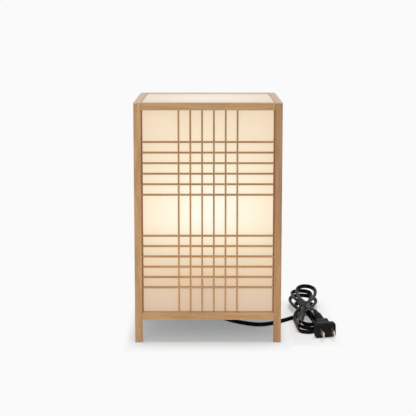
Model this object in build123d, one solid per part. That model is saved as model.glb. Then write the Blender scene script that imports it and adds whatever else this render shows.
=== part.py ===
from build123d import *
import os
from math import cos, radians, sin, tan

# An andon: a square paper lamp in a wooden frame, its four sides filled with a kumiko lattice.
# Millimetres, +Z up, -Y is the front. The origin lies on the floor under the middle of the frame.

# --- Frame ---
width = 170.0  # over the posts, left to right
depth = 170.0  # over the posts, front to back
height = 280.0
stick = 8.4  # square section of the posts, and of the rails
leg = 27.2  # clear height under the bottom rails
edge_chamfer = 0.3  # on the posts' long edges and ends
tenon_length = 3.0
tenon_thickness = 3.0
tenon_shoulder = 0.9  # wood left above and below a tenon
tenon_gap = 0.05  # glue line round a tenon

# --- Kumiko lattice ---
bar_width = 2.0
bar_depth = 3.4
bar_recess = 2.6  # the lattice's face lies this far behind the frame's
upright_count = 6
upright_pitch = 13.5
crossbar_count = 6  # in each of the two bands
crossbar_pitch = 12.2
band_margin = 29.4  # bottom rail to the middle of the lowest crossbar
band_gap = 48.0  # between the two bands, middle to middle
lap_gap = 0.04  # side play in a half-lap

# --- Paper ---
batten_width = 1.4
batten_gap = 0.05  # glue line between a batten and its post
paper_thickness = 0.4
paper_lap = 2.6  # glued onto the rails, above and below
paper_inset = 0.4  # each sheet stops this far short of the frame's inner corners

# --- Lid and base ---
lid_thickness = 2.0
lid_sink = 0.6  # the lid's top lies this far under the rails' tops
lid_play = 0.6  # all round the lid
lid_ledge_width = 4.0
lid_ledge_height = 2.8
board_thickness = 3.0
board_play = 0.3
board_ledge_width = 5.0
board_ledge_height = 2.0
vent_radius = 4.0
vent_count = 6
vent_ring = 52.0  # radius of the ring of vents

# --- Lampholder ---
flange_rim = 2.4  # flange left outside the screw heads
flange_height = 5.0
barrel_radius = 18.5
barrel_height = 50.0
barrel_lip = 1.6  # bevel of the barrel's mouth
well_depth = 29.0  # socket for the bulb's cap, down from the barrel's mouth
shell_wall = 0.6
shell_length = 22.0
contact_radius = 4.0
contact_height = 3.0
screw_clearance = 0.4  # between the screw heads and the barrel
screw_radius = 1.5
screw_head_radius = 2.8
screw_head_height = 1.8
screw_hole_play = 0.1
terminal_chamber = 11.0  # radius of the wiring space under the well
terminal_height = 12.0

# --- Bulb ---
cap_radius = 13.1
cap_length = 24.0
cap_wall = 0.4
thread_play = 0.1  # radial, bulb in its shell
button_radius = 4.6
button_height = 1.6
insulator_height = 2.4
globe_radius = 30.0
globe_rise = 50.0  # cap's rim to the globe's centre
globe_start = 36.0  # degrees below the globe's equator where the flare meets it
globe_bands = 6  # straight bands that the globe is turned in
neck_radius = 12.4
glass_wall = 1.0
contact_play = 0.2  # between the bulb's button and the lampholder's contact

# --- Cord: flat twin core, lying free ---
cord_width = 5.2
core_diameter = 2.4  # one insulated core, where the two part inside the lamp
core_spacing = 2.8
lead_play = 1.0  # round the cores where they enter the lampholder
bush_radius = 5.0
bush_flange_radius = 7.0
bush_flange_height = 1.6
bush_nose_radius = 3.9
bush_nose_length = 6.0
exit_x = -4.0
exit_y = 46.0
tail_straight = 10.0  # straight out of the plug's strain relief
lobe_band = 9.0  # width of the bundle round a lobe's opening
lobe_front_x = 119.7  # the hank's longest front loop, a flat oval ring on the floor
lobe_front_y = -7.8
lobe_front_width = 29.6
lobe_front_length = 89.6
lobe_front_height = 3.2
lobe_inner_x = 120.2  # the shorter front loops piled on it
lobe_inner_y = -2.5
lobe_inner_width = 27.2
lobe_inner_length = 79.0
lobe_inner_height = 7.4
lobe_rear_x = 122.2
lobe_rear_y = 80.5
lobe_rear_width = 36.6
lobe_rear_length = 75.0
lobe_rear_height = 25.0
waist_x = 123.2
waist_front = 28.0
waist_back = 56.0
waist_base = 1.2
waist_width = 12.0
waist_height = 18.0
waist_round = 5.0
tie_y = 40.0
tie_width = 4.0
tie_thickness = 0.8

# --- Plug ---
plug_face_x = 139.2  # middle of its face
plug_face_y = -66.0
plug_yaw = 10.0
plug_pitch = 5.0  # nose down
plug_roll = 2.5  # right side up
plug_rest = 0.1  # its lowest edge over the floor
plug_width = 25.0
plug_height = 17.4
plug_block = 7.0  # length of the full-size front block
plug_corner = 3.4
grip_width = 15.0
grip_height = 13.5
grip_corner = 2.4
grip_length = 17.0
relief_lift = 12.0  # degrees by which the strain relief bends up with the cord
relief_length = 22.0
relief_radius = 4.8
relief_tip_radius = 3.4
relief_rib_count = 3
relief_rib_width = 2.6
relief_rib_height = 0.9
relief_rib_first = 4.0  # first rib, behind the grip
relief_rib_pitch = 5.0
blade_pitch = 12.7
blade_length = 16.0
blade_width = 6.3
blade_thickness = 1.5
blade_root = 4.0  # moulded into the block
blade_hole_radius = 1.5
blade_hole_back = 5.0  # hole's centre, back from the blade's tip

ARC_SHARE = 0.45  # of the shorter run, taken by the arc at a corner of a route

# --- Worked out from the sizes above ---
half_width = width / 2
half_depth = depth / 2
rail_base = leg
rail_top = leg + stick
top_rail_base = height - stick
opening_height = top_rail_base - rail_top
batten_depth = stick - bar_recess - bar_depth
board_top = rail_base + board_ledge_height + board_thickness
board_base = rail_base + board_ledge_height
screw_ring = barrel_radius + screw_clearance + screw_head_radius
flange_radius = screw_ring + screw_head_radius + flange_rim
lid_top = height - lid_sink
lid_base = lid_top - lid_thickness
barrel_top = board_top + flange_height + barrel_height
well_floor = barrel_top - well_depth
well_radius = cap_radius + thread_play + shell_wall
contact_top = well_floor + contact_height
flange_top = board_top + flange_height
lead_level = flange_top + lead_play + core_diameter / 2
button_base = contact_top + contact_play
cap_base = button_base + button_height + insulator_height
cap_top = cap_base + cap_length
lower_band = rail_top + band_margin
upper_band = lower_band + (crossbar_count - 1) * crossbar_pitch + band_gap
crossbar_heights = [
    start + i * crossbar_pitch for start in (lower_band, upper_band) for i in range(crossbar_count)
]
upright_places = [(i - (upright_count - 1) / 2) * upright_pitch for i in range(upright_count)]

# Each side of the lamp, in order round it: its name, its outer width and the distance from
# the lamp's axis to its outer face.
SIDES = [
    ("front", width, half_depth),
    ("right", depth, half_width),
    ("rear", width, half_depth),
    ("left", depth, half_width),
]
UPPER_TENONS = ("front", "rear")


def block(x_low, x_high, y_low, y_high, z_low, z_high):
    """A box between two corners."""
    size = (x_high - x_low, y_high - y_low, z_high - z_low)
    middle = ((x_low + x_high) / 2, (y_low + y_high) / 2, (z_low + z_high) / 2)
    return Pos(*middle) * Box(*size)


def disc(radius, low, high, x=0.0, y=0.0):
    """An upright cylinder between two heights."""
    return Pos(x, y, (low + high) / 2) * Cylinder(radius, high - low)


# --- Frame: posts, rails and their mortise-and-tenon joints ---


def tenons(span, face, base, upper, gap=0.0):
    """The tenons of a rail drawn at the front, or with a gap the mortises that take them.
    Front and rear rails carry theirs in the upper half and side rails in the lower half,
    so that the two in one post pass each other."""
    middle = base + stick / 2
    low, high = (middle, base + stick - tenon_shoulder) if upper else (base + tenon_shoulder, middle)
    centre = stick / 2 - face
    near = tenon_thickness / 2 + gap
    shoulder = span / 2 - stick
    tip = shoulder + tenon_length + gap
    y_low, y_high, z_low, z_high = centre - near, centre + near, low - gap, high + gap
    left = block(-tip, -shoulder, y_low, y_high, z_low, z_high)
    right = block(shoulder, tip, y_low, y_high, z_low, z_high)
    return [left, right]


def turned_sides():
    """Each side with the turn that brings a piece drawn at the front there."""
    return [(name, turn, span, face) for turn, (name, span, face) in zip(PolarLocations(0, len(SIDES)), SIDES)]


def rail(span, face, base, upper):
    """A horizontal rail between two posts, drawn at the front."""
    half = span / 2 - stick
    body = block(-half, half, -face, -face + stick, base, base + stick)
    return body + tenons(span, face, base, upper)


def post(x_side, y_side):
    """A corner post, its edges eased, with mortises for the four rails that meet it."""
    x_low, x_high = sorted((x_side * half_width, x_side * (half_width - stick)))
    y_low, y_high = sorted((y_side * half_depth, y_side * (half_depth - stick)))
    body = chamfer(block(x_low, x_high, y_low, y_high, 0, height).edges(), edge_chamfer)
    for name, turn, span, face in turned_sides():
        for base in (rail_base, top_rail_base):
            cutters = tenons(span, face, base, name in UPPER_TENONS, tenon_gap)
            body -= [turn * cutter for cutter in cutters]
    return body


# --- Kumiko lattice: half-lapped bars ---


def lattice_layers(face):
    """The lattice's front, its lap plane and its back, in the front's frame."""
    front = -face + bar_recess
    return front, front + bar_depth / 2, front + bar_depth


def uprights(face):
    """The vertical bars, each notched from the front for every crossbar."""
    front, lap, back = lattice_layers(face)
    half = bar_width / 2
    notch = half + lap_gap
    bars = []
    for x in upright_places:
        bar = block(x - half, x + half, front, back, rail_top, top_rail_base)
        notches = [
            block(x - stick, x + stick, front - stick, lap, z - notch, z + notch) for z in crossbar_heights
        ]
        bars.append(bar - notches)
    return Compound(children=bars)


def crossbars(span, face):
    """The horizontal bars, each notched from the back for every upright."""
    front, lap, back = lattice_layers(face)
    half = bar_width / 2
    notch = half + lap_gap
    end = span / 2 - stick
    bars = []
    for z in crossbar_heights:
        bar = block(-end, end, front, back, z - half, z + half)
        notches = [
            block(x - notch, x + notch, lap, back + stick, z - stick, z + stick) for x in upright_places
        ]
        bars.append(bar - notches)
    return Compound(children=bars)


# --- Paper and its battens ---


def battens(span, face):
    """Two strips behind the crossbars' ends, against the posts, that carry the paper's edges."""
    outer = span / 2 - stick - batten_gap
    inner = outer - batten_width
    back = -face + stick
    front = back - batten_depth
    left = block(-outer, -inner, front, back, rail_top, top_rail_base)
    right = block(inner, outer, front, back, rail_top, top_rail_base)
    return Compound(children=[left, right])


def paper(span, face):
    """One stiff paper panel, glued behind the battens and the rails."""
    half = span / 2 - stick - paper_inset
    front = -face + stick
    low = rail_top - paper_lap
    high = top_rail_base + paper_lap
    return block(-half, half, front, front + paper_thickness, low, high)


# --- Lid and base ---


def ledges(width_of, height_of, base):
    """Four strips inside the frame, front and rear long, left and right between them."""
    x_in = half_width - stick
    y_in = half_depth - stick
    top = base + height_of
    strips = []
    for side in (-1, 1):
        y_near, y_far = sorted((side * y_in, side * (y_in - width_of)))
        x_near, x_far = sorted((side * x_in, side * (x_in - width_of)))
        strips.append(block(-x_in, x_in, y_near, y_far, base, top))
        strips.append(block(x_near, x_far, width_of - y_in, y_in - width_of, base, top))
    return Compound(children=strips)


def lid():
    """The lift-off top panel."""
    x_half = half_width - stick - lid_play
    y_half = half_depth - stick - lid_play
    return block(-x_half, x_half, -y_half, y_half, lid_base, lid_top)


def base_board():
    """The floor of the lamp, with its vents, screw holes, wiring hole and cord hole."""
    x_half = half_width - stick - board_play
    y_half = half_depth - stick - board_play
    board = block(-x_half, x_half, -y_half, y_half, board_base, board_top)
    low, high = board_base - 1, board_top + 1
    holes = [disc(bush_radius, low, high, exit_x, exit_y)]
    vents = PolarLocations(vent_ring, vent_count)
    holes += [place * disc(vent_radius, low, high) for place in vents]
    holes += [place * disc(screw_radius, low, high) for place in screw_places()]
    return board - holes


def screw_places():
    """The lampholder's two fixing screws, left and right of it."""
    return PolarLocations(screw_ring, 2)


# --- Lampholder ---


def holder_body():
    """Moulded lampholder: a round flange, a barrel, the bulb's well and the wiring chamber."""
    barrel = disc(barrel_radius, board_top, barrel_top)
    barrel = chamfer(barrel.edges().group_by(Axis.Z)[-1], barrel_lip)
    body = disc(flange_radius, board_top, flange_top) + barrel
    body -= disc(well_radius, well_floor, barrel_top + 1)
    body -= disc(terminal_chamber, board_top - 1, board_top + terminal_height)
    way = (core_spacing + core_diameter) / 2 + lead_play
    body -= block(-way, way, 0, flange_radius, flange_top, flange_top + core_diameter + 2 * lead_play)
    hole = disc(screw_radius + screw_hole_play, board_top - 1, flange_top + 1)
    return body - [place * hole for place in screw_places()]


def holder_shell():
    """The threaded metal shell that lines the well."""
    inner = cap_radius + thread_play
    tube = disc(inner + shell_wall, barrel_top - barrel_lip - shell_length, barrel_top - barrel_lip)
    return tube - disc(inner, well_floor, barrel_top)


def holder_contact():
    """The centre contact on the well's floor."""
    return disc(contact_radius, well_floor, contact_top)


def holder_screws():
    """Two round-head screws through the flange into the board."""
    screws = []
    for place in screw_places():
        head = disc(screw_head_radius, flange_top, flange_top + screw_head_height)
        head = chamfer(head.edges().group_by(Axis.Z)[-1], screw_head_height / 2)
        screws.append(place * (head + disc(screw_radius, board_base, flange_top)))
    return Compound(children=screws)


# --- Bulb ---


def bulb_glass():
    """The pear-shaped envelope, a shell turned about its axis and open at its neck."""
    return pear(globe_radius, neck_radius) - pear(globe_radius - glass_wall, neck_radius - glass_wall)


def pear(radius, neck):
    """The bulb's outline turned: a straight neck, a flare and a globe, in straight bands."""
    foot = cap_base + cap_wall
    centre = cap_top + globe_rise
    step = (90 + globe_start) / globe_bands
    angles = [radians(i * step - globe_start) for i in range(globe_bands)]
    globe = [(radius * cos(angle), centre + radius * sin(angle)) for angle in angles]
    outline = [(0, foot), (neck, foot), (neck, cap_top), *globe, (0, centre + radius)]
    return revolve(make_face(Plane.XZ * Polyline(*outline, close=True)), Axis.Z)


def bulb_cap():
    """The metal screw cap round the neck."""
    return disc(cap_radius, cap_base, cap_top) - disc(cap_radius - cap_wall, cap_base + cap_wall, cap_top)


def bulb_button():
    """The insulator and the contact button under the cap."""
    joint = button_base + button_height
    insulator = Pos(0, 0, joint) * Cone(
        button_radius, cap_radius - cap_wall, insulator_height, align=(Align.CENTER, Align.CENTER, Align.MIN)
    )
    return insulator + disc(button_radius, button_base, joint)


# --- Wiring inside, and the bush where the cord leaves ---


def radii_of(points):
    """For each corner of a route, the arc that its two runs allow."""
    radii = []
    for before, corner, after in zip(points, points[1:], points[2:]):
        run_in = Vector(*corner) - Vector(*before)
        run_out = Vector(*after) - Vector(*corner)
        half_turn = radians(run_in.get_angle(run_out)) / 2
        radii.append(ARC_SHARE * min(run_in.length, run_out.length) / tan(half_turn))
    return radii


def tube(points, diameter):
    """A round tube along straight runs joined by tangent arcs."""
    path = FilletPolyline(*points, radius=radii_of(points))
    start = Plane(origin=points[0], z_dir=path % 0)
    return sweep(start * Circle(diameter / 2), path=path)


def cord_bush():
    """The moulded bush that grips the cord in the base board."""
    flange = disc(bush_flange_radius, board_top, board_top + bush_flange_height, exit_x, exit_y)
    flange = chamfer(flange.edges().group_by(Axis.Z)[-1], bush_flange_height / 2)
    shank = disc(bush_radius, board_base, board_top, exit_x, exit_y)
    nose = Cone(bush_nose_radius, bush_radius, bush_nose_length)
    return flange + shank + Pos(exit_x, exit_y, board_base - bush_nose_length / 2) * nose


def inner_leads():
    """The cord's two cores, parted above the bush and led over the flange into the lampholder."""
    start = board_top + bush_flange_height
    leads = []
    for offset in (-core_spacing / 2, core_spacing / 2):
        x = exit_x + offset
        route = [(x, exit_y, start), (x, exit_y, lead_level), (offset, terminal_chamber, lead_level)]
        leads.append(tube(route, core_diameter))
    return Compound(children=leads)


# --- Cord: the stretch from the bush, the tied hank and the tail to the plug ---


def cord_lead_route():
    """From the bush down to the floor, forward under the lamp and out behind the right leg."""
    lying = cord_width / 2
    return [
        (exit_x, exit_y, board_base - bush_nose_length),
        (exit_x, exit_y, 13.5),
        (0.6, 42.3, 5.6),
        (13.0, 29.5, lying),
        (31.0, 4.0, lying),
        (55.5, -13.0, lying),
        (72.0, -12.0, lying),
        (90.5, 3.5, lying),
        (104.0, 18.5, lying),
        (112.0, 28.5, lying),
        (118.0, 35.6, lying),
    ]


def cord_tail_route():
    """From the plug's strain relief back over the hank's front loops and into its waist."""
    along = [plug_frame() * relief_axis() * Pos(0, 0, relief_length + run) for run in (0, tail_straight)]
    return [
        *[tuple(place.position) for place in along],
        (126.2, 6.0, 19.2),
        (124.2, 23.0, 16.4),
        (124.4, 33.6, 14.4),
    ]


def lobe(x, y, across, along, tall):
    """One end of the hank: a long ring of folded cord."""
    opening = Pos(0, 0, -1) * extrude(SlotOverall(along - 2 * lobe_band, across - 2 * lobe_band), tall + 2)
    return Pos(x, y, 0) * Rot(0, 0, 90) * (extrude(SlotOverall(along, across), tall) - opening)


def cord_hank():
    """The spare cord folded back and forth and tied at its waist: front loops that lie on the
    floor, the longest of them lowest, and a rear lobe whose bights pile higher."""
    front = lobe(lobe_front_x, lobe_front_y, lobe_front_width, lobe_front_length, lobe_front_height)
    front += lobe(lobe_inner_x, lobe_inner_y, lobe_inner_width, lobe_inner_length, lobe_inner_height)
    rear = lobe(lobe_rear_x, lobe_rear_y, lobe_rear_width, lobe_rear_length, lobe_rear_height)
    middle = Plane.XZ * Pos(waist_x, waist_base + waist_height / 2, 0) * waist_section(0)
    waist = Pos(0, waist_back, 0) * extrude(middle, waist_back - waist_front)
    return front + waist + rear


def waist_section(grow):
    """The bundle's outline where it is tied, grown all round."""
    size = (waist_width + 2 * grow, waist_height + 2 * grow)
    return RectangleRounded(*size, waist_round + grow)


def hank_tie():
    """The band twisted round the hank's waist."""
    middle = Plane.XZ * Pos(waist_x, waist_base + waist_height / 2, 0)
    ring = middle * (waist_section(tie_thickness) - waist_section(0))
    return Pos(0, tie_y + tie_width / 2, 0) * extrude(ring, tie_width)


# --- Plug, drawn nose forward with its face at the origin and laid down by plug_frame ---


def plug_frame():
    """Where the plug lies: nose down on its front edge, its tail held up by the cord."""
    pitch, roll = radians(plug_pitch), radians(plug_roll)
    drop = plug_height / 2 * cos(roll) + (plug_width / 2 - plug_corner) * sin(roll)
    face_z = plug_rest + drop * cos(pitch)
    place = Pos(plug_face_x, plug_face_y, face_z)
    return place * Rot(0, 0, plug_yaw) * Rot(plug_pitch, 0, 0) * Rot(0, -plug_roll, 0)


def plug_body():
    """Moulded body: a broad front block with cut corners, and a narrower grip behind it."""
    face = Plane.XZ * Rectangle(plug_width, plug_height)
    front = Pos(0, plug_block, 0) * extrude(face, plug_block)
    front = chamfer(front.edges().filter_by(Axis.Y), plug_corner)
    heel = Plane.XZ * Rectangle(grip_width, grip_height)
    grip = Pos(0, plug_block + grip_length, 0) * extrude(heel, grip_length)
    grip = fillet(grip.edges().filter_by(Axis.Y), grip_corner)
    body = front + grip
    for side in (-1, 1):
        x = side * blade_pitch / 2
        slot = block(x - blade_thickness / 2, x + blade_thickness / 2, 0, blade_root, *blade_span())
        body -= slot
    return plug_frame() * body


def blade_span():
    """The blades' lower and upper edges in the plug's own frame."""
    return -blade_width / 2, blade_width / 2


def plug_blades():
    """Two flat contact blades, each with its hole near the tip."""
    blades = []
    for side in (-1, 1):
        x = side * blade_pitch / 2
        half = blade_thickness / 2
        blade = block(x - half, x + half, -blade_length, blade_root, *blade_span())
        tip = blade.edges().filter_by(Axis.X).sort_by(Axis.Y)[:2]
        blade = chamfer(tip, blade_thickness)
        hole = Rot(0, 90, 0) * Cylinder(blade_hole_radius, blade_thickness * 2)
        blade -= Pos(x, blade_hole_back - blade_length, 0) * hole
        blades.append(plug_frame() * blade)
    return Compound(children=blades)


def relief_axis():
    """The strain relief's root in the plug's frame, its axis +Z bent up from the plug's own."""
    return Pos(0, plug_block + grip_length, 0) * Rot(relief_lift - 90, 0, 0)


def plug_relief():
    """The ribbed, tapered strain relief between the grip and the cord, cut flat where it
    meets the grip."""
    to_tip = (Align.CENTER, Align.CENTER, Align.MIN)
    relief = Cone(relief_radius, relief_tip_radius, relief_length, align=to_tip)
    relief += Pos(0, 0, -relief_radius) * Cylinder(relief_radius, relief_radius, align=to_tip)
    slope = (relief_radius - relief_tip_radius) / relief_length
    for i in range(relief_rib_count):
        back = relief_rib_first + i * relief_rib_pitch
        radius = relief_radius - back * slope + relief_rib_height
        relief += Pos(0, 0, back) * Cylinder(radius, relief_rib_width, align=to_tip)
    root = plug_block + grip_length
    in_grip = block(-grip_width, grip_width, 0, root, -grip_height, grip_height)
    return plug_frame() * (relief_axis() * relief - in_grip)


# --- Nodes ---


def nodes():
    """Every node of the lamp, by name."""
    made = {}
    for x_name, x_side in (("left", -1), ("right", 1)):
        for y_name, y_side in (("front", -1), ("rear", 1)):
            made[f"{y_name}_{x_name}_post"] = post(x_side, y_side)
    for name, turn, span, face in turned_sides():
        upper = name in UPPER_TENONS
        drawn = {
            "top_rail": rail(span, face, top_rail_base, upper),
            "bottom_rail": rail(span, face, rail_base, upper),
            "uprights": uprights(face),
            "crossbars": crossbars(span, face),
            "battens": battens(span, face),
            "paper": paper(span, face),
        }
        for piece, shape in drawn.items():
            made[f"{name}_{piece}"] = turn * shape
    made["lid_ledges"] = ledges(lid_ledge_width, lid_ledge_height, lid_base - lid_ledge_height)
    made["lid"] = lid()
    made["board_ledges"] = ledges(board_ledge_width, board_ledge_height, rail_base)
    made["base_board"] = base_board()
    made["holder_body"] = holder_body()
    made["holder_shell"] = holder_shell()
    made["holder_contact"] = holder_contact()
    made["holder_screws"] = holder_screws()
    made["bulb_glass"] = bulb_glass()
    made["bulb_cap"] = bulb_cap()
    made["bulb_button"] = bulb_button()
    made["cord_bush"] = cord_bush()
    made["inner_leads"] = inner_leads()
    made["cord_lead"] = tube(cord_lead_route(), cord_width)
    made["cord_tail"] = tube(cord_tail_route(), cord_width)
    made["cord_hank"] = cord_hank()
    made["hank_tie"] = hank_tie()
    made["plug_relief"] = plug_relief()
    made["plug_body"] = plug_body()
    made["plug_blades"] = plug_blades()
    return made


os.makedirs("parts", exist_ok=True)
for node, shape in nodes().items():
    export_step(shape, f"parts/{node}.step")
for name, route in (("lead", cord_lead_route()), ("tail", cord_tail_route())):
    print(name, "radii", [round(radius, 1) for radius in radii_of(route)])
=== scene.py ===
# %% [markdown]
# # An andon lamp, dressed in cells
# The lamp is a square wooden frame whose four sides carry a kumiko lattice with lit paper
# behind it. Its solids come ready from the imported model. This lesson gives them their
# finishes, lays the real cord where the plain solids stand, models the plug, the tie and the
# bulb properly, and sets up a pale studio.

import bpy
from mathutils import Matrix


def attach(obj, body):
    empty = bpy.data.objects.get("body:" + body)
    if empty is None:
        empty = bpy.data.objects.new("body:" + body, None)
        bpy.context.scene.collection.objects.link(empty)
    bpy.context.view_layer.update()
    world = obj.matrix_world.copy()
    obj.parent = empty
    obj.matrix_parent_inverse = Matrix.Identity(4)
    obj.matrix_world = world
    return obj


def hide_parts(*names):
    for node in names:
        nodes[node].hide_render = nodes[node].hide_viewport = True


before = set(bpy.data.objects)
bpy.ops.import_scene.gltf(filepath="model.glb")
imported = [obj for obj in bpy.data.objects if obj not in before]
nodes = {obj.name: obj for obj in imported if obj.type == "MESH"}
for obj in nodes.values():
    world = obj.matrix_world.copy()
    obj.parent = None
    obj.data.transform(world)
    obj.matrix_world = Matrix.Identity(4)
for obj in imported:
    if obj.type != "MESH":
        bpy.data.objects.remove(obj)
print(len(nodes), "nodes are loaded")

# %% Bring in the tools and set the millimetre
import math

import bmesh
import bpy
from mathutils import Matrix, Vector

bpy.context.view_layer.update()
MM = 0.001

# %% [markdown]
# ## The camera
# A product camera stands well back with a long lens, a little above the lamp, so that the
# posts stay almost upright and the paper top shows as a thin band. It looks down by 8.7
# degrees, and a small shift centres the lamp in a square frame. A shorter lens nearer by
# would make the posts lean, so the distance is what sets the look.

# %% Set up the camera
STAND_BACK = 1.483
EYE_HEIGHT = 0.3878
LOOK_DOWN = 8.682  # degrees
LENS_LENGTH, SENSOR = 106.64, 36  # millimetres
FRAME_SHIFT = -0.03125

lens = bpy.data.cameras.new("studio_camera")
lens.lens = LENS_LENGTH
lens.sensor_width = SENSOR
lens.shift_y = FRAME_SHIFT
camera = bpy.data.objects.new("studio_camera", lens)
camera.location = (0, -STAND_BACK, EYE_HEIGHT)
camera.rotation_euler = (math.radians(90 - LOOK_DOWN), 0, 0)
bpy.context.collection.objects.link(camera)
bpy.context.scene.camera = camera
print("camera", camera.location[:], "lens", lens.lens)

# %% [markdown]
# ## The cord's line
# The cord is a flat twin flex, 5.2 mm wide and 2.6 mm thick. It drops out of the base board,
# runs forward under the lamp on its edge, comes out behind the right leg and goes into a
# hank: the spare length folded back and forth, tied in the middle, with the plug lying on its
# front. A cord could be simulated as a chain of links, but a hank is folded by hand, so its
# line is listed point by point: one NURBS spline through the air, whose control points give
# each loop its own size, the higher loops resting on the lower ones. Points are in millimetres.

# %% Lay the cord's control points
EDGE = 2.6  # height of its middle where the flex stands on its edge
lead = [(-4, 46, 23.2), (-4, 46, 13.5), (0.6, 42.3, 5.6), (13, 29.5, EDGE), (31, 4, EDGE),
        (55.5, -13, EDGE), (72, -12, EDGE), (90.5, 3.5, EDGE), (104, 18.5, EDGE)]
rear_lowest = [(114, 29.5, EDGE), (120.6, 40, EDGE), (120, 52, EDGE), (118, 64, EDGE),
               (115.6, 76, EDGE), (114, 87, EDGE), (115.6, 96, EDGE), (122, 99, EDGE),
               (130.5, 98.5, EDGE), (136.6, 92, EDGE), (137, 81, EDGE), (133.6, 68, EDGE),
               (128.2, 55, EDGE)]
front_lowest = [(125.6, 44, EDGE), (127.2, 32, EDGE), (130.3, 16, EDGE), (131.4, -2, EDGE),
                (131.4, -18, EDGE), (130.9, -31, EDGE), (130.3, -41.2, 2.4), (124.4, -47.6, 2.4),
                (116, -47.6, 2.4), (109.7, -41.5, 2.4), (109.5, -29, 2.5), (109.6, -14, EDGE),
                (109, 0, EDGE), (108, 12, 3.3), (109.2, 22, 5.4), (112.6, 30.5, 8.4)]
rear_second = [(118, 40.5, 12.2), (119.2, 52, 13.1), (116, 65.5, 13.7), (111.9, 79, 14),
               (110, 92.5, 14.7), (110.6, 105, 15.2), (117.2, 113.6, 15.4), (127.2, 113.6, 15.4),
               (134.4, 106, 15.1), (135, 92, 14.4), (132.8, 77, 13.2), (129, 61, 11.6)]
front_second = [(124.4, 47, 9.4), (122.8, 34, 8.8), (125, 22, 8.6), (129.6, 9, 7.6),
                (133, -6, 6), (133.2, -20, 5), (133, -35, 5), (126.8, -42.4, 5),
                (117.8, -37.6, 5.1), (111.6, -30, 5.2), (111, -19, 5.2), (112.4, -8, 5.6),
                (113.3, 2, 6.4), (113.6, 13, 8), (116.2, 23.5, 9.4), (119.4, 32.5, 9.2)]
rear_third = [(119, 41, 7.4), (113.4, 52, 7.6), (109.4, 65, 8.2), (107.2, 78, 8.6),
              (107, 91, 9), (109.6, 103.5, 9.4), (117.6, 112.6, 9.5), (127.6, 114, 9.3),
              (136.6, 108.6, 8.7), (141.2, 97, 7.8), (140.6, 83, 6.8), (135.6, 70, 6.2),
              (130.6, 58, 6)]
front_third = [(127.8, 45, 6.4), (127.6, 33, 8.5), (128.8, 20, 10.5), (131.5, 6, 11),
               (134, -7, 9.7), (134.9, -18.5, 8), (132.4, -28.4, 7.6), (124.4, -33.4, 7.8),
               (117, -30, 8), (114, -19.5, 8), (115.6, -6.5, 8.4), (117.6, 5, 9.2),
               (119.2, 15, 10.8), (120.4, 24, 12.6)]
rear_highest = [(121.8, 36, 14.8), (122.8, 48, 15.6), (120, 59, 16), (117, 71, 17),
                (116.2, 84, 18.6), (116.4, 96, 20), (119, 107.5, 21.2), (125.2, 114.8, 21.6),
                (132.6, 114.4, 21.5), (138.6, 106.5, 21), (140.6, 94, 20), (139.2, 81, 18.5),
                (135.4, 68.5, 16.8), (130.2, 57, 15.6)]
tail = [(126.2, 45, 14.8), (125.2, 34, 15), (124.8, 22, 16.6), (125.7, 8, 18.8),
        (128.4, -4.6, 20.3), (130.9, -12.4, 20.9), (132.9, -21.8, 18)]
route = (lead + rear_lowest + front_lowest + rear_second + front_second + rear_third
         + front_third + rear_highest + tail)
print(len(route), "control points")

# %% Read the smooth line
FINE = 9  # points read for each stretch of the spline


def smooth_line(points):
    """Points in metres, read from a NURBS spline. Its control points are in millimetres."""
    curve = bpy.data.curves.new("line", "CURVE")
    curve.dimensions = "3D"
    curve.resolution_u = FINE
    spline = curve.splines.new("NURBS")
    spline.points.add(len(points) - 1)
    for control, point in zip(spline.points, points):
        control.co = (*(Vector(point) * MM), 1)
    spline.order_u = 3
    spline.use_endpoint_u = True
    holder = bpy.data.objects.new("line", curve)
    bpy.context.collection.objects.link(holder)
    bpy.context.view_layer.update()
    mesh = bpy.data.meshes.new_from_object(holder)
    read = [vertex.co.copy() for vertex in mesh.vertices]
    bpy.data.objects.remove(holder)
    return read


cord_line = smooth_line(route)
cord_length = sum((b - a).length for a, b in zip(cord_line, cord_line[1:]))
print(len(cord_line), "points,", round(cord_length, 3), "m of cord")

# %% [markdown]
# ## The cord's section
# The flex is two round cores side by side, joined by a thin web, which leaves a shallow
# groove along each face. The outline could be typed in corner by corner. It is worked out
# from the circle of one core, so that the flex's size is stated in one place.

# %% Draw the flex's section
CORE = 1.3 * MM  # radius of one core
ARC_STEP = 28  # degrees from one corner to the next round a core
GROOVE = 0.62  # height of the web, as a share of a core's


def twin_section():
    """The flex's outline: x across its width and y across its thickness."""
    outline = []
    for side in (1, -1):
        for step in range(-4, 5):
            angle = math.radians(step * ARC_STEP)
            outline.append((side * (CORE + CORE * math.cos(angle)), side * CORE * math.sin(angle)))
        outline.append((0, side * CORE * GROOVE))
    return outline


section = twin_section()
print(len(section), "corners round the flex")

# %% [markdown]
# ## How the flex lies
# A flat flex bends easily only across its thickness, so it stands on its edge along the floor
# and in a tight fold, and lies flatter where it runs straight. Its thickness points up, drawn
# towards the inside of the bend, and both are averaged along the line, because real flex turns
# over slowly. Under the lamp it stands on its edge all the way.

# %% Find which way the flex's thickness points
LEAN = 45 * MM  # how strongly a bend draws the thickness to its inside
REACH = 10  # points to each side that a direction is averaged over
UP = Vector((0, 0, 1))


def spread(vectors):
    """Each vector averaged with its neighbours along the line."""
    sums = []
    for i in range(len(vectors)):
        near = vectors[max(0, i - REACH):i + REACH + 1]
        sums.append(sum(near, Vector()) / len(near))
    return sums


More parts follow.
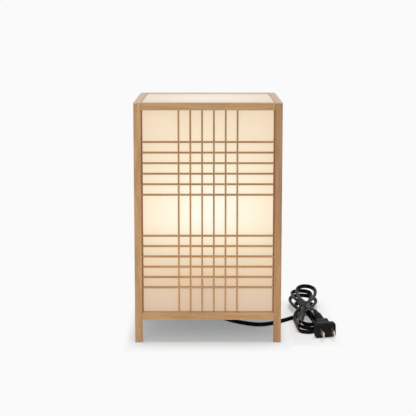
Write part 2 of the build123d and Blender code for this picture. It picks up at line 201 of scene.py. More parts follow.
def thickness_directions(line, standing):
    """For each point, its tangent and the way that the flex's thickness points. The first
    points, as many as are standing, have it sideways, which sets the flex on its edge."""
    last = len(line) - 1
    sides = [(max(i - 1, 0), min(i + 1, last)) for i in range(last + 1)]
    tangents = [(line[high] - line[low]).normalized() for low, high in sides]
    bends = spread([(tangents[high] - tangents[low]) / (line[high] - line[low]).length
                    for low, high in sides])
    ups = []
    for i in range(last, -1, -1):
        up = tangents[i].cross(UP) if i < standing else UP + bends[i] * LEAN
        up -= tangents[i] * up.dot(tangents[i])
        ups.append(up if up.length > 0.05 else ups[-1])
    ups.reverse()
    return tangents, [up.normalized() for up in spread(ups)]


tangents, ups = thickness_directions(cord_line, FINE * len(lead))
print(sum(up.z < 0.5 for up in ups), "of", len(ups), "points stand on edge")

# %% [markdown]
# ## The cord itself
# A curve's own bevel would keep twisting, so each ring of the mesh is set one by one, square
# to the line and turned the way its thickness points. A ring that would dip under the floor is
# lifted onto it. Both ends are closed, and only the long sides are shaded smooth.

# %% Sweep the flex along its line
FLOOR_GAP = 0.05 * MM


def flex_rings(line, tangents, ups):
    """The section's corners at each point of the line, one after another."""
    corners = []
    for point, tangent, up in zip(line, tangents, ups):
        up = (up - tangent * up.dot(tangent)).normalized()
        across = tangent.cross(up)
        ring = [point + across * x + up * y for x, y in section]
        lift = max(0.0, FLOOR_GAP - min(corner.z for corner in ring))
        corners += [corner + UP * lift for corner in ring]
    return corners


def skin_rings(name, corners, around):
    """A closed mesh over rings of so many corners each."""
    count = len(corners)
    faces = [tuple(range(around))[::-1], tuple(range(count - around, count))]
    for start in range(0, count - around, around):
        for j in range(around):
            a, b = start + j, start + (j + 1) % around
            faces.append((a, b, b + around, a + around))
    mesh = bpy.data.meshes.new(name)
    mesh.from_pydata(corners, [], faces)
    mesh.validate()
    shaper = bmesh.new()
    shaper.from_mesh(mesh)
    bmesh.ops.recalc_face_normals(shaper, faces=shaper.faces)
    shaper.to_mesh(mesh)
    shaper.free()
    mesh.polygons.foreach_set("use_smooth", [len(face.vertices) == 4 for face in mesh.polygons])
    return mesh


cord = bpy.data.objects.new("cord", skin_rings("cord", flex_rings(cord_line, tangents, ups),
                                               len(section)))
bpy.context.collection.objects.link(cord)
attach(cord, "frame")
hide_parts("cord_lead", "cord_tail", "cord_hank")
print("cord of", len(cord.data.polygons), "faces")

# %% [markdown]
# ## Working as by hand
# The pieces below are modelled with the same operators that the menus call: a primitive is
# added at its place, then shaped in edit mode. An operator acts on whatever is selected, so
# a piece starts with nothing else selected, and its faces are picked by where they look.

# %% Start a piece and pick its parts


def clear_selection():
    """Nothing selected, so that an operator acts on the new piece alone."""
    if bpy.context.object and bpy.context.object.mode != "OBJECT":
        bpy.ops.object.mode_set(mode="OBJECT")
    bpy.ops.object.select_all(action="DESELECT")


def start_piece(name):
    """The primitive just added, named, in edit mode."""
    piece = bpy.context.active_object
    piece.name = name
    piece.data.name = name
    bpy.ops.object.transform_apply(location=True, rotation=True, scale=True)
    bpy.ops.object.mode_set(mode="EDIT")
    bpy.ops.mesh.select_mode(type="FACE")
    return piece


def pick(piece, kind, wanted):
    """Selects only the faces, or only the edges, for which wanted is true."""
    bpy.ops.mesh.select_mode(type={"faces": "FACE", "edges": "EDGE"}[kind])
    bpy.ops.mesh.select_all(action="DESELECT")
    shape = bmesh.from_edit_mesh(piece.data)
    chosen = [part for part in getattr(shape, kind) if wanted(part)]
    for part in chosen:
        part.select_set(True)
    shape.select_flush_mode()
    bmesh.update_edit_mesh(piece.data)
    print(piece.name, "has", len(chosen), kind, "picked")


def runs_lengthwise(edge):
    """Whether an edge runs front to back, as a plug's or a band's long edges do."""
    return abs((edge.verts[0].co - edge.verts[1].co).y) > MM


# %% Finish a piece


def finish_piece(angle=35):
    """Out of edit mode, with faces pointing outwards and smooth shading up to an angle."""
    bpy.ops.mesh.select_all(action="SELECT")
    bpy.ops.mesh.normals_make_consistent(inside=False)
    bpy.ops.object.mode_set(mode="OBJECT")
    bpy.ops.object.shade_smooth_by_angle(angle=math.radians(angle))


def apply_modifier(piece, kind, **settings):
    """Adds a modifier and applies it at once."""
    modifier = piece.modifiers.new(kind.lower(), kind)
    for setting, value in settings.items():
        setattr(modifier, setting, value)
    bpy.ops.object.modifier_apply(modifier=modifier.name)
    print(piece.name, "has", len(piece.data.polygons), "faces after its", kind.lower())


def round_edges(piece, width, segments, sharp=30):
    """Rounds the edges that are sharper than an angle, and shades the piece smooth again."""
    apply_modifier(piece, "BEVEL", width=width * MM, segments=segments, limit_method="ANGLE",
                   angle_limit=math.radians(sharp))
    bpy.ops.object.shade_smooth_by_angle(angle=math.radians(40))


# %% [markdown]
# ## The plug
# A moulded two-blade plug is one lump of PVC: a broad front block with cut corners, then a
# narrower grip, then a ribbed strain relief that the cord bends over. Stacking boxes would
# leave hard joints, so the block is one cube whose back face is extruded and scaled step by
# step into the grip, and a bevel rounds every edge as the mould does. It is modelled straight,
# with its front at the origin, and then laid on the floor beside the hank, nose down.

# %% Model the plug's block and grip
BLOCK = (25, 6.8, 17.4)  # width, length and height
BLOCK_CORNER = 2.7
FACE_RIM, FACE_DEPTH = 1.1, 0.35  # the front face is sunk inside a rim
# Each step is a length, then the shares that its end keeps across and upwards, and its drift.
GRIP_STEPS = [(0.9, 0.9, 0.92), (0.3, 0.7, 0.93), (5.5, 0.97, 0.99, 0.14), (0.3, 0.94, 0.93),
              (1.0,), (0.3, 1.06, 1.07), (8.4, 0.94, 0.97, 0.14)]


def step_out(length, across=1.0, tall=1.0, sideways=0.0):
    """Extrudes the selected back face along the plug and scales its end."""
    move = (sideways * length * MM, length * MM, 0)
    bpy.ops.mesh.extrude_region_move(TRANSFORM_OT_translate={"value": move})
    bpy.ops.transform.resize(value=(across, 1, tall), center_override=(0, 0, 0))


clear_selection()
bpy.ops.mesh.primitive_cube_add(size=1, location=(0, BLOCK[1] / 2 * MM, 0),
                                scale=[side * MM for side in BLOCK])
plug = start_piece("plug")
pick(plug, "edges", runs_lengthwise)
bpy.ops.mesh.bevel(offset=BLOCK_CORNER * MM, segments=2, affect="EDGES")
pick(plug, "faces", lambda face: face.normal.y > 0.9)
for step in GRIP_STEPS:
    step_out(*step)
pick(plug, "faces", lambda face: face.normal.y < -0.9)
bpy.ops.mesh.inset(thickness=FACE_RIM * MM)
bpy.ops.transform.translate(value=(0, FACE_DEPTH * MM, 0))
finish_piece()
round_edges(plug, 0.55, 3, 22)

# %% Lay the plug on the floor
PLUG_FACE = (139.2, -66, 9.154)
PLUG_YAW, PLUG_PITCH, PLUG_ROLL = 10, 5, -2.5  # degrees


def turned(degrees, axis):
    return Matrix.Rotation(math.radians(degrees), 4, axis)


PLUG_PLACE = (Matrix.Translation(Vector(PLUG_FACE) * MM) @ turned(PLUG_YAW, "Z")
              @ turned(PLUG_PITCH, "X") @ turned(PLUG_ROLL, "Y"))
plug.data.transform(PLUG_PLACE)
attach(plug, "frame")
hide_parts("plug_body")
print("the plug's lowest point is at", round(min(v.co.z for v in plug.data.vertices), 5), "m")

# %% [markdown]
# ## The strain relief
# The relief is moulded with the plug: a cone of rings that lets the flex leave in a curve and
# not at a kink. A screw modifier could draw its outline round, but a short disc stepped out
# ring by ring, wide and narrow in turn, needs no outline and tapers as it goes.

# %% Model the strain relief
RELIEF_RADIUS = 4.8
RELIEF_RIBS = 4
RELIEF_LIFT = 12  # degrees by which it bends up with the cord
RIB_STEPS = [(0.35, 1.16, 1.16), (1.9, 0.97, 0.97), (0.35, 0.86, 0.86), (1.9, 0.95, 0.93)]
RELIEF_STEPS = [(2.6, 0.97, 0.97)] + RIB_STEPS * RELIEF_RIBS + [(1.2, 0.96, 0.9)]
RELIEF_PLACE = (PLUG_PLACE @ Matrix.Translation(Vector((1.9, 24, 0.4)) * MM)
                @ turned(RELIEF_LIFT, "X"))

clear_selection()
bpy.ops.mesh.primitive_cylinder_add(vertices=40, radius=RELIEF_RADIUS * MM, depth=2 * MM,
                                    location=(0, -0.6 * MM, 0), rotation=(math.radians(90), 0, 0))
relief = start_piece("plug_strain_relief")
pick(relief, "faces", lambda face: face.normal.y > 0.9)
for step in RELIEF_STEPS:
    step_out(*step)
finish_piece()
round_edges(relief, 0.22, 2)
relief.data.transform(RELIEF_PLACE)
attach(relief, "frame")
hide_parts("plug_relief")
print("strain relief from", [round(c, 4) for c in (RELIEF_PLACE @ Vector())])

# %% [markdown]
# ## The tie
# The hank is held by a flat plastic band, drawn once round its waist with its end tucked
# under. It starts as a cube without its two open sides, whose corners a bevel rounds to the
# bundle's outline. A solidify modifier gives the band its thickness.

# %% Model the tie
TIE_MIDDLE = (123.2, 40, 9.3)
TIE_SIZE = (15.4, 3.6, 17.4)
TIE_CORNER = 5.2

clear_selection()
bpy.ops.mesh.primitive_cube_add(size=1, location=[place * MM for place in TIE_MIDDLE],
                                scale=[side * MM for side in TIE_SIZE])
tie = start_piece("hank_tie_band")
pick(tie, "faces", lambda face: abs(face.normal.y) > 0.9)
bpy.ops.mesh.delete(type="ONLY_FACE")
pick(tie, "edges", runs_lengthwise)
bpy.ops.mesh.bevel(offset=TIE_CORNER * MM, segments=7, affect="EDGES")
finish_piece()
apply_modifier(tie, "SOLIDIFY", thickness=0.7 * MM, offset=-1)
round_edges(tie, 0.2, 2)
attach(tie, "frame")
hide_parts("hank_tie")

# %% [markdown]
# ## What the cord carries
# The plug with its relief and blades hangs on the cord's end, and the tie on its waist. The
# cord's length is printed below as a share of 1.4 m.

print("the cord's measured length is", round(cord_length / 1.4, 3), "of what is declared")

# %% [markdown]
# ## The bulb
# The bulb is a frosted pear: a globe that flows into a neck, which the screw cap grips. A
# sphere is cut off below its widest part, and its open rim is extruded and narrowed in
# steps. Spinning a drawn outline would do as well, but the sphere keeps its crown even.

# %% Model the bulb's glass
GLOBE_RADIUS = 30
GLOBE_CENTRE = 139.4
CUT = -36  # degrees, from the globe's middle to where its neck starts
NECK_STEPS = [(116, 21.1), (109.5, 18.0), (103, 15.5), (97, 13.8), (92, 12.9), (87.5, 12.4),
              (66.2, 12.4)]  # heights and radii


def draw_along(rise, share):
    """Extrudes what is selected along the bulb's axis and scales its end about that axis."""
    bpy.ops.mesh.extrude_region_move(TRANSFORM_OT_translate={"value": (0, 0, rise * MM)})
    bpy.ops.transform.resize(value=(share, share, 1), center_override=(0, 0, 0))


clear_selection()
bpy.ops.mesh.primitive_uv_sphere_add(segments=48, ring_count=40, radius=GLOBE_RADIUS * MM,
                                     location=(0, 0, GLOBE_CENTRE * MM))
glass = start_piece("bulb_frosted_glass")
height = GLOBE_CENTRE + GLOBE_RADIUS * math.sin(math.radians(CUT))
radius = GLOBE_RADIUS * math.cos(math.radians(CUT))
bpy.ops.mesh.select_all(action="SELECT")
bpy.ops.mesh.bisect(plane_co=(0, 0, height * MM), plane_no=(0, 0, 1), clear_inner=True)
pick(glass, "edges", lambda edge: edge.is_boundary)
for next_height, next_radius in NECK_STEPS:
    draw_along(next_height - height, next_radius / radius)
    height, radius = next_height, next_radius
bpy.ops.mesh.edge_face_add()
finish_piece(50)
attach(glass, "bulb")
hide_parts("bulb_glass")
print("bulb of", len(glass.data.polygons), "faces")

# %% [markdown]
# ## The bulb's screw cap
# The cap is thin metal with a thread rolled into it, crimped and cemented round the neck. A
# true screw thread needs a section swept along a helix. At this size rings a pitch apart look
# the same, so a short disc is drawn up ring by ring, out to a crest and back to a root, and
# smooth shading rounds them. The top is then inset and pushed down into a cup for the neck.

# %% Model the bulb's screw cap
CAP_FOOT, FOOT_RADIUS, FOOT_DEPTH, FOOT_FLARE = 65.4, 10.6, 0.6, 1.2
RINGS, PITCH = 5, 3.6
ROOT, FLANK, CREST = 12.6, 12.85, 13.05  # radii of the thread
THREAD = [(ROOT, FLANK), (FLANK, CREST), (CREST, FLANK), (FLANK, ROOT)] * RINGS
COLLAR, CAP_WALL, CUP_DEPTH = 4.2, 0.25, 23.1

clear_selection()
bpy.ops.mesh.primitive_cylinder_add(vertices=48, radius=FOOT_RADIUS * MM, depth=FOOT_DEPTH * MM,
                                    location=(0, 0, (CAP_FOOT + FOOT_DEPTH / 2) * MM))
cap = start_piece("bulb_screw_cap")
pick(cap, "faces", lambda face: face.normal.z > 0.9)
draw_along(FOOT_FLARE, ROOT / FOOT_RADIUS)
for last, following in THREAD:
    draw_along(PITCH / 4, following / last)
draw_along(COLLAR, 1.0)
bpy.ops.mesh.inset(thickness=CAP_WALL * MM)
draw_along(-CUP_DEPTH, 1.0)
finish_piece(60)
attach(cap, "bulb")
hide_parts("bulb_cap")
print("screw cap up to", round(max(v.co.z for v in cap.data.vertices), 4), "m")

# %% [markdown]
# ## Shader maths in Python
# A finish is a small network of nodes. Wiring it by hand is long, so a Shade stands for one
# socket, and arithmetic on it adds the Math nodes. A Network has one method that adds any
# other node: its type, its settings, then the values or links of its sockets. A Finish is the
# network of one material.

# %% Let arithmetic add nodes


class Shade:
    """One output socket, on which arithmetic adds Math nodes."""

    def __init__(self, network, socket):
        self.network = network
        self.socket = socket

    def maths(self, operation, *values):
        sockets = dict(enumerate(values))
        return self.network.node("ShaderNodeMath", {"operation": operation}, sockets)

    def __add__(self, other):
        return self.maths("ADD", self, other)

    def __radd__(self, other):
        return self.maths("ADD", other, self)

    def __sub__(self, other):
        return self.maths("SUBTRACT", self, other)

    def __rsub__(self, other):
        return self.maths("SUBTRACT", other, self)

    def __mul__(self, other):
        return self.maths("MULTIPLY", self, other)

    def __rmul__(self, other):
        return self.maths("MULTIPLY", other, self)

    def __truediv__(self, other):
        return self.maths("DIVIDE", self, other)

    def __rtruediv__(self, other):
        return self.maths("DIVIDE", other, self)

    def __abs__(self):
        return self.maths("ABSOLUTE", self)

    def larger(self, other):
        return self.maths("MAXIMUM", self, other)

    def above(self, other):
        return self.maths("GREATER_THAN", self, other)

    def between(self, low, high):
        """0 up to low, 1 from high, and smooth between them."""
        settings = {"interpolation_type": "SMOOTHSTEP"}
        return self.network.node("ShaderNodeMapRange", settings, {0: self, 1: low, 2: high})


print("a Shade takes + - * / and abs")

# %% Wrap a node tree


class Network:
    """A node tree round one shader."""

    def __init__(self, tree, shader):
        self.tree = tree
        self.shader = tree.nodes[shader]

    def node(self, kind, settings, sockets, output=0):
        """Adds a node and returns one of its outputs."""
        made = self.tree.nodes.new(kind)
        for setting, value in settings.items():
            if setting == "stops":
                self.place_stops(made.color_ramp, value)
            else:
                setattr(made, setting, value)
        for socket, value in sockets.items():
            if isinstance(value, Shade):
                self.tree.links.new(value.socket, made.inputs[socket])
            else:
                made.inputs[socket].default_value = value
        return Shade(self, made.outputs[output])

    @staticmethod
    def place_stops(ramp, stops):
        while len(ramp.elements) < len(stops):
            ramp.elements.new(1)
        for element, (position, colour) in zip(ramp.elements, stops):
            element.position = position
            element.color = colour

    def set(self, **links):
        """Links outputs to the shader's sockets."""
        for socket, value in links.items():
            self.tree.links.new(value.socket, self.shader.inputs[socket.replace("_", " ")])

    def place(self, scale=(1, 1, 1)):
        """The point on the piece in metres, stretched."""
        spot = self.node("ShaderNodeTexCoord", {}, {}, "Object")
        return self.node("ShaderNodeMapping", {}, {"Vector": spot, "Scale": scale})

    def axes(self):
        """The point's x, y and z, each by itself."""
        spot = self.node("ShaderNodeTexCoord", {}, {}, "Object")
        return [self.node("ShaderNodeSeparateXYZ", {}, {0: spot}, axis) for axis in "XYZ"]

    def noise(self, where, scale, detail=2.0, rough=0.5, twist=0.0):
        """Cloudy noise from 0 to 1."""
        sockets = {"Vector": where, "Scale": scale, "Detail": detail, "Roughness": rough,
                   "Distortion": twist}
        return self.node("ShaderNodeTexNoise", {}, sockets)

    def mix(self, share, low, high, blend="MIX"):
        """One colour over another."""
        settings = {"data_type": "RGBA", "blend_type": blend}
        return self.node("ShaderNodeMix", settings, {0: share, 6: low, 7: high}, 2)

    def blend(self, share, low, high):
        """One shader over another."""
        return self.node("ShaderNodeMixShader", {}, {0: share, 1: low, 2: high})

    def ramp(self, value, stops):
        return self.node("ShaderNodeValToRGB", {"stops": stops}, {0: value})

    def bump(self, height, strength, distance):
        sockets = {"Height": height, "Strength": strength, "Distance": distance}
        self.set(Normal=self.node("ShaderNodeBump", {}, sockets))


print("a Network adds any node")

# %% Wrap one material and dress a piece in it


class Finish(Network):
    """A material round one Principled shader, whose constants are set on its own sockets."""

    def __init__(self, name, **constants):
        self.material = bpy.data.materials.new(name)
        self.material.use_nodes = True
        super().__init__(self.material.node_tree, "Principled BSDF")
        for socket, value in constants.items():
            self.shader.inputs[socket.replace("_", " ")].default_value = value


def linear(red, green, blue):
    """A colour written as 0 to 255, in the renderer's linear values."""
    shares = [value / 255 for value in (red, green, blue)]
    return (*[s / 12.92 if s < 0.04045 else ((s + 0.055) / 1.055) ** 2.4 for s in shares], 1)


def grey(level):
    return (level, level, level, 1)


def shifted(colour, share):
    """A colour made darker by a share under 1, or paler by one over 1."""
    return tuple(share * part for part in colour[:3]) + (1,)


def dress(finish, *names):
    """Gives a finish to CAD nodes and pieces."""
    for name in names:
        mesh = (nodes.get(name) or bpy.data.objects[name]).data
        mesh.materials.clear()
        mesh.materials.append(finish.material)
    print(finish.material.name, "on", ", ".join(names))


# %% [markdown]
# ## The wood
# Frame and lattice are a pale, straight-grained softwood, planed and left bare. Real grain
# runs along each stick, so the finish is written once and made for each of the three ways a
# stick can lie: the same noise, drawn out along that axis. Broad growth bands shift the
# colour, and a finer, longer noise adds the pores. Light and shade are painted in too: a
# stick is painted a little paler low down than high up, and the lamp's topmost faces carry a
# pale painted sheen. Both follow the height alone, so that a bar's own upper side keeps the
# bar's colour.

# %% Write the wood's finish
BAND_SCALE, PORE_SCALE, CLOUD_SCALE = 420, 1500, 22
BAND_STRETCH, PORE_STRETCH = 0.05, 0.012  # along the stick
PLANED = 0.42  # roughness
FOOT, HEAD = 0.03, 0.26  # heights between which the painted light and shade change
# A pale painted sheen on the lamp's topmost faces: the light that they reflect, painted into their
# colour.
PAINTED_SHEEN = linear(174, 150, 123)
PAINTED_SHEEN_FROM, PAINTED_SHEEN_TO, PAINTED_SHEEN_SHARE = 0.2785, 0.2798, 0.6  # at the lamp's top


def drawn_out(axis, share):
    """A scale that stretches a noise along one axis."""
    scale = [1.0, 1.0, 1.0]
    scale[axis] = share
    return scale


def wood(name, axis, pale, dark, low=1.04, high=0.94):
    """Planed softwood whose grain runs along an axis: 0 for x, 1 for y, 2 for z. Its colour
    is multiplied by low at its foot and by high at its head, a painted light and shade, and
    the lamp's topmost faces get a pale painted sheen."""
    finish = Finish(name, Specular_IOR_Level=0.5)
    bands = finish.noise(finish.place(drawn_out(axis, BAND_STRETCH)), BAND_SCALE, 3, 0.55, 0.4)
    lines = finish.noise(finish.place(drawn_out(axis, PORE_STRETCH)), PORE_SCALE, 3, 0.6)
    cloud = finish.noise(finish.place(), CLOUD_SCALE)
    # The bands carry most of the tone, and the last number brings it back to the middle.
    tone = bands.between(0.3, 0.7) * 0.75 + cloud * 0.35 + lines * 0.35 - 0.23
    colour = finish.mix(tone, dark, pale)
    pores = lines.between(0.62, 0.78) * 0.3
    colour = finish.mix(pores, colour, dark)
    height = finish.axes()[2]
    # Painted light and shade: the colour is paler towards the foot and darker towards the head.
    tint = finish.mix(height.between(FOOT, HEAD), grey(low), grey(high))
    colour = finish.mix(1.0, colour, tint, "MULTIPLY")
    # The lamp's topmost faces get the pale painted sheen.
    top = height.between(PAINTED_SHEEN_FROM, PAINTED_SHEEN_TO) * PAINTED_SHEEN_SHARE
    finish.set(Base_Color=finish.mix(top, colour, PAINTED_SHEEN),
               Roughness=(lines - 0.5) * 0.16 + PLANED)
    finish.bump(lines + bands * 0.5, 0.16, 0.0003)
    return finish


print("grain bands", round(1 / BAND_SCALE, 4), "m wide before they are drawn out")

# %% Dress the frame
PALE, DARK = linear(193, 152, 106), linear(165, 124, 75)
cross_wood = wood("wood_across", 0, PALE, DARK)
deep_wood = wood("wood_front_to_back", 1, PALE, DARK)
upright_wood = wood("wood_upright", 2, PALE, DARK, 1.0, 1.0)
# The front right post has a darker colour and a stronger painted light and shade from foot to
# head.
darker_upright = wood("wood_upright_darker", 2, linear(180, 137, 94), linear(151, 108, 64),
                      1.07, 0.88)
dress(upright_wood, "front_left_post", "rear_left_post", "rear_right_post")
dress(darker_upright, "front_right_post")
dress(cross_wood, "front_top_rail", "front_bottom_rail", "rear_top_rail", "rear_bottom_rail",
      "lid_ledges", "board_ledges", "base_board")
dress(deep_wood, "right_top_rail", "right_bottom_rail", "left_top_rail", "left_bottom_rail")

# %% [markdown]
# ## The lattice's wood
# The bars are the same wood, planed thinner. They stand in their own shade and in the paper's
# glow, so they look a little darker, most of all above the bulb. The battens beside the posts
# take the warmest light, which a redder tone stands for. Painting each bar by hand would give
# the same, but a tone for each kind keeps all four sides alike.

# %% Dress the lattice
BAR_PALE, BAR_DARK = linear(182, 140, 92), linear(154, 112, 64)
BAR_LOW, BAR_HIGH = 1.17, 0.85
bar_across = wood("lattice_across", 0, BAR_PALE, BAR_DARK, BAR_LOW, BAR_HIGH)
bar_deep = wood("lattice_front_to_back", 1, BAR_PALE, BAR_DARK, BAR_LOW, BAR_HIGH)
bar_upright = wood("lattice_upright", 2, BAR_PALE, BAR_DARK, BAR_LOW, BAR_HIGH)
batten_wood = wood("batten_upright", 2, linear(182, 120, 72), linear(152, 94, 52))
for side, crossbar_wood in (("front", bar_across), ("rear", bar_across), ("right", bar_deep),
                            ("left", bar_deep)):
    dress(crossbar_wood, f"{side}_crossbars")
    dress(bar_upright, f"{side}_uprights")
    dress(batten_wood, f"{side}_battens")

# %% [markdown]
# ## The lit paper
# The side panels are stiff, cream-coloured paper lit by the bulb. A real lamp inside would
# need many samples to come out clean, so the light that the paper passes on is painted as
# emission. It is brightest level with the bulb, fades evenly upwards and sideways, and falls
# off faster below, where the lampholder stands in its own light. The colour follows from the
# brightness: nearly white at its height, warm cream further out, tan at the foot. Fine
# fibres show as a faint cloud.

# %% Work out how brightly a panel is lit
GLOW_HEIGHT = 0.152
PANEL_AWAY = 0.0768  # from the lamp's axis to a panel
FADE_ACROSS, FADE_UP, FADE_DOWN = 0.101, 0.11, 0.0515  # distances at which it halves
HOLDER_TOP, HOLDER_FADE, HOLDER_REACH = 0.1, 0.03, 0.026  # the lampholder's own shadow
HOLDER_SHADE = 0.22  # the share of the light that it takes


def panel_glow(finish):
    """How strongly each point of a side panel is lit, up to 1."""
    x, y, z = finish.axes()
    sideways = (x * x + y * y - PANEL_AWAY ** 2) / FADE_ACROSS ** 2
    up = (z - GLOW_HEIGHT) / FADE_UP
    down = (z - GLOW_HEIGHT) / FADE_DOWN
    below = 1 - z.above(GLOW_HEIGHT)
    fade = up * up * (1 - below) + down * down * below
    shadow = (HOLDER_TOP - z).between(0, HOLDER_FADE) * HOLDER_SHADE
    narrow = 1 / (1 + (x * x + y * y - PANEL_AWAY ** 2) / HOLDER_REACH ** 2)
    return (1 / (1 + sideways + fade)) * (1 - shadow * narrow)


print("the panels are brightest", GLOW_HEIGHT, "m up")

# %% Write the paper and dress the panels
PAPER, FIBRE = (0.15, 0.139, 0.124, 1), (0.17, 0.157, 0.14, 1)
FIBRE_SCALE, FIBRE_SHINE = 420, 0.03
PANEL_COLOURS = [(0.12, (0.554, 0.393, 0.265, 1)), (0.20, (0.602, 0.443, 0.305, 1)),
                 (0.30, (0.726, 0.527, 0.335, 1)), (0.45, (0.742, 0.602, 0.428, 1)),
                 (0.60, (0.827, 0.681, 0.486, 1)), (0.80, (0.860, 0.774, 0.590, 1)),
                 (1.00, (0.862, 0.862, 0.736, 1))]


def lit_paper(name, rough, gloss, fibre_stretch, glow, colours):
    """Fibrous paper that shines in the colours that stand for how brightly it is lit."""
    finish = Finish(name, Roughness=rough, Emission_Strength=1.0, Specular_IOR_Level=gloss)
    fibre = finish.noise(finish.place(fibre_stretch), FIBRE_SCALE, 4, 0.65, 1.2)
    brightness = glow(finish) + (fibre - 0.5) * FIBRE_SHINE
    finish.set(Emission_Color=finish.ramp(brightness, colours),
               Base_Color=finish.mix(fibre, PAPER, FIBRE))
    finish.bump(fibre, 0.12, 0.0002)
    return finish


dress(lit_paper("lit_paper", 0.85, 0.2, (1, 1, 0.6), panel_glow, PANEL_COLOURS),
      "front_paper", "right_paper", "rear_paper", "left_paper")

# %% [markdown]
# ## The lid
# The lid is a translucent plastic panel with the same paper laminated into it, which keeps it
# flat without a frame. It lies far above the bulb, so its light is weaker and more even than a
# side's. It takes the panels' finish with a glow of its own, in place of a second recipe.

# %% Dress the lid
LID_FADE = 0.13
LID_COLOURS = [(0.5, (0.55, 0.41, 0.30, 1)), (1.0, (0.69, 0.61, 0.52, 1))]


def lid_glow(finish):
    """How strongly each point of the lid is lit, 1 over the bulb."""
    x, y = finish.axes()[:2]
    return 1 / (1 + (x * x + y * y) / LID_FADE ** 2)


dress(lit_paper("laminated_paper", 0.8, 0.25, (1, 1, 1), lid_glow, LID_COLOURS), "lid")

# %% [markdown]
# ## Black flex and plug
# The flex and the plug are black PVC, satin on the flex and a little duller on the moulded
# plug. Nothing black is flat black: faint scuffs change how rough it is, and a fine grain
# from the mould breaks up the highlights.

# %% Write the black plastics
SCUFF_SCALE = 260
SCUFF_PALER = 1.9


def black_plastic(name, tone, rough, grain, gloss=0.03):
    """Scuffed plastic with a mould's grain."""
    finish = Finish(name, Specular_IOR_Level=gloss)
    scuff = finish.noise(finish.place(), SCUFF_SCALE, 4, 0.6, 0.5)
    fine = finish.noise(finish.place(), grain)
    scuffed = shifted(tone, SCUFF_PALER)
    finish.set(Base_Color=finish.mix(scuff.between(0.45, 0.75), tone, scuffed),
               Roughness=(scuff - 0.5) * 0.22 + rough)
    finish.bump(fine, 0.12, 0.0001)
    return finish


dress(black_plastic("flex_black", linear(14, 12, 10), 0.2, 2600, 0.055), "cord")
dress(black_plastic("moulded_black", linear(30, 30, 33), 0.4, 4200), "plug", "plug_strain_relief")
dress(black_plastic("tie_black", linear(12, 11, 11), 0.5, 3000), "hank_tie_band")
dress(black_plastic("bush_black", linear(24, 23, 23), 0.5, 3000), "cord_bush", "inner_leads")

# %% [markdown]
# ## The metals
# The blades are nickelled brass and the contacts bare brass, both drawn and lightly scratched.
# The cap and the shell are thin aluminium, and the screws are steel. What tells metals apart
# is the tint of what they reflect, so one finish serves all four, each time with its own tone
# and roughness.

# %% Write the metals
SCRATCH_SCALE, SCRATCH_STRETCH = 2400, 0.08
PATCH_SCALE, PATCH_DARKER = 300, 0.72


def metal(name, tone, rough):
    """Drawn metal, duller in patches."""
    finish = Finish(name, Metallic=1.0)
    drawn = finish.noise(finish.place(drawn_out(1, SCRATCH_STRETCH)), SCRATCH_SCALE, 3, 0.6)
    cloud = finish.noise(finish.place(), PATCH_SCALE, 3)
    finish.set(Base_Color=finish.mix(cloud * 0.7, tone, shifted(tone, PATCH_DARKER)),
               Roughness=drawn * 0.2 + (rough - 0.06))
    finish.bump(drawn, 0.08, 0.0001)
    return finish


dress(metal("blade_nickel", linear(208, 200, 180), 0.26), "plug_blades")
dress(metal("drawn_brass", linear(212, 176, 104), 0.3), "holder_contact", "bulb_button")
dress(metal("drawn_aluminium", linear(205, 204, 200), 0.32), "holder_shell", "bulb_screw_cap")
dress(metal("drawn_steel", linear(190, 189, 186), 0.3), "holder_screws")

# %% [markdown]
# ## The lampholder
# The lampholder is moulded from a hard white plastic that stands the bulb's heat. It keeps the
# mould's skin, a faintly mottled body under a thin gloss. A coat over a rougher base gives both
# at once, where one roughness would have to choose.

# %% Write the lampholder's white plastic
holder_white = Finish("holder_white", Coat_Weight=0.5, Coat_Roughness=0.1)
mottle = holder_white.noise(holder_white.place(), 90, 3)
holder_white.set(Roughness=mottle * 0.14 + 0.22,
                 Base_Color=holder_white.mix(mottle, linear(232, 229, 221), linear(243, 240, 234)))
dress(holder_white, "holder_body")

# %% [markdown]
# ## The bulb's glass
# The glass is frosted and lit. It could be real glass round a lamp, but that is slow to come
# out clean, so it mostly shines by itself, full and warm in its globe and less in its neck.

# %% Write the lit glass
NECK_END, GLOBE_START = 0.088, 0.118
NECK_LIGHT, GLOBE_LIGHT = (0.42, 0.33, 0.2, 1), (0.74, 0.7, 0.58, 1)
lit_glass = Finish("lit_glass", Emission_Strength=1.0)
height = lit_glass.axes()[2]
frost = lit_glass.noise(lit_glass.place(), 800)
lit_glass.set(Emission_Color=lit_glass.mix(height.between(NECK_END, GLOBE_START), NECK_LIGHT,
                                           GLOBE_LIGHT),
              Base_Color=lit_glass.mix(frost, linear(110, 107, 101), linear(122, 119, 113)),
              Roughness=frost * 0.15 + 0.3)
dress(lit_glass, "bulb_frosted_glass")
print(len(bpy.data.materials), "finishes")

# %% [markdown]
# ## The floor
# A seamless pale floor runs into a white world. A plain white floor would either grey over or
# need more light than the lamp can take, so near the lamp and its cord the floor is shaded
# as it is lit, with a little haze that keeps its shadows soft, and further out it becomes the
# world's own white, so that no horizon shows. That is only for the camera: to the light that
# bounces up under the lamp, the floor is simply white.

# %% Lay the floor
bpy.ops.object.select_all(action="DESELECT")
bpy.ops.mesh.primitive_plane_add(size=12)
floor = bpy.context.active_object
floor.name = "studio_floor"
print("floor of", floor.dimensions.x, "m")

# %% Measure how far the floor lies from the lamp and its cord
HALF_FRAME = 0.085
HANK_MIDDLE, HANK_HALF = (0.125, 0.01), (0.018, 0.098)
HANK_WHITE = 0.18  # the share of white that stays by the hank, whose shadow is weaker

ground = Finish("studio_ground", Roughness=0.9, Specular_IOR_Level=0.0)
x, y = ground.axes()[:2]


def outside(across, along, half_across, half_along):
    """How far a point of the floor lies outside a rectangle about the origin."""
    return (abs(across) - half_across).larger(abs(along) - half_along)


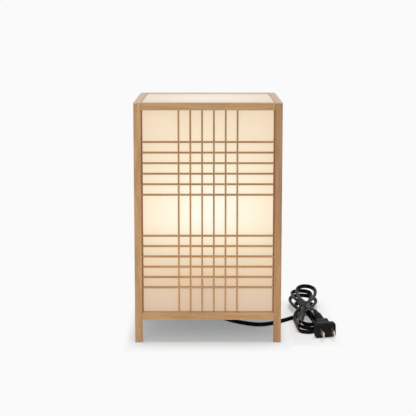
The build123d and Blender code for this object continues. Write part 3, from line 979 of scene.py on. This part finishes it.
# The shadow runs further to the front and back than to the sides, so y is counted less.
off_frame = outside(x, y * 0.3, HALF_FRAME, HALF_FRAME * 0.3).between(-0.002, 0.016)
off_hank = outside(x - HANK_MIDDLE[0], y - HANK_MIDDLE[1], *HANK_HALF).between(0, 0.02)
away = off_frame * (off_hank * (1 - HANK_WHITE) + HANK_WHITE)
print("the floor is white from", HALF_FRAME + 0.016, "m to the lamp's left")

# %% Blend the floor into white
WHITE = grey(0.956)
WARM_FLOOR, PLAIN_FLOOR = (0.61, 0.59, 0.58, 1), grey(0.593)
COOL_HAZE, PLAIN_HAZE = (0.208, 0.251, 0.272, 1), (0.238, 0.238, 0.236, 1)


def even_light(colour):
    return ground.node("ShaderNodeEmission", {}, {"Color": colour})


# Under the lamp the wood throws a warm light down, which the cooler haze evens out.
ground.set(Base_Color=ground.mix(off_frame, WARM_FLOOR, PLAIN_FLOOR))
shaded = Shade(ground, ground.shader.outputs[0])
haze = ground.blend(off_frame, even_light(COOL_HAZE), even_light(PLAIN_HAZE))
near = ground.node("ShaderNodeAddShader", {}, {0: shaded, 1: haze})
shown = ground.blend(away, near, even_light(WHITE))
bounce = ground.node("ShaderNodeBsdfDiffuse", {}, {"Color": grey(0.93)})
camera_ray = ground.node("ShaderNodeLightPath", {}, {}, "Is Camera Ray")
seen = ground.blend(camera_ray, bounce, shown)
ground.tree.links.new(seen.socket, ground.tree.nodes["Material Output"].inputs[0])
floor.data.materials.append(ground.material)
print(len(ground.tree.nodes), "nodes on the floor")

# %% [markdown]
# ## The light
# Light comes from an even white dome, a broad light overhead and a weak, broad one in front,
# at a level at which a colour comes out about as it is written. A single hard lamp would
# model the sticks more, but their shadows would cut up the lattice and the paper. The camera
# and shiny things see the dome as white, and everything else is lit by its real, lower level.

# %% Light the studio
DOME = grey(0.42)
world = bpy.data.worlds.new("studio_world")
world.use_nodes = True
bpy.context.scene.world = world
sky = Network(world.node_tree, "Background")
camera_ray = sky.node("ShaderNodeLightPath", {}, {}, "Is Camera Ray")
glossy_ray = sky.node("ShaderNodeLightPath", {}, {}, "Is Glossy Ray")
sky.set(Color=sky.mix(camera_ray.larger(glossy_ray), DOME, WHITE))


def sun(name, energy, spread_angle, towards):
    """A broad distant light that shines from a direction."""
    light = bpy.data.lights.new(name, "SUN")
    light.energy = energy
    light.angle = math.radians(spread_angle)
    source = bpy.data.objects.new(name, light)
    source.rotation_euler = Vector(towards).to_track_quat("Z", "Y").to_euler()
    bpy.context.collection.objects.link(source)
    print(name, "at", energy, "from", towards)


sun("overhead", 1.9, 30, (0.03, 0.05, 1))
sun("front_fill", 0.9, 50, (-0.1, -1, 0.5))
bpy.context.scene.view_settings.view_transform = "Standard"
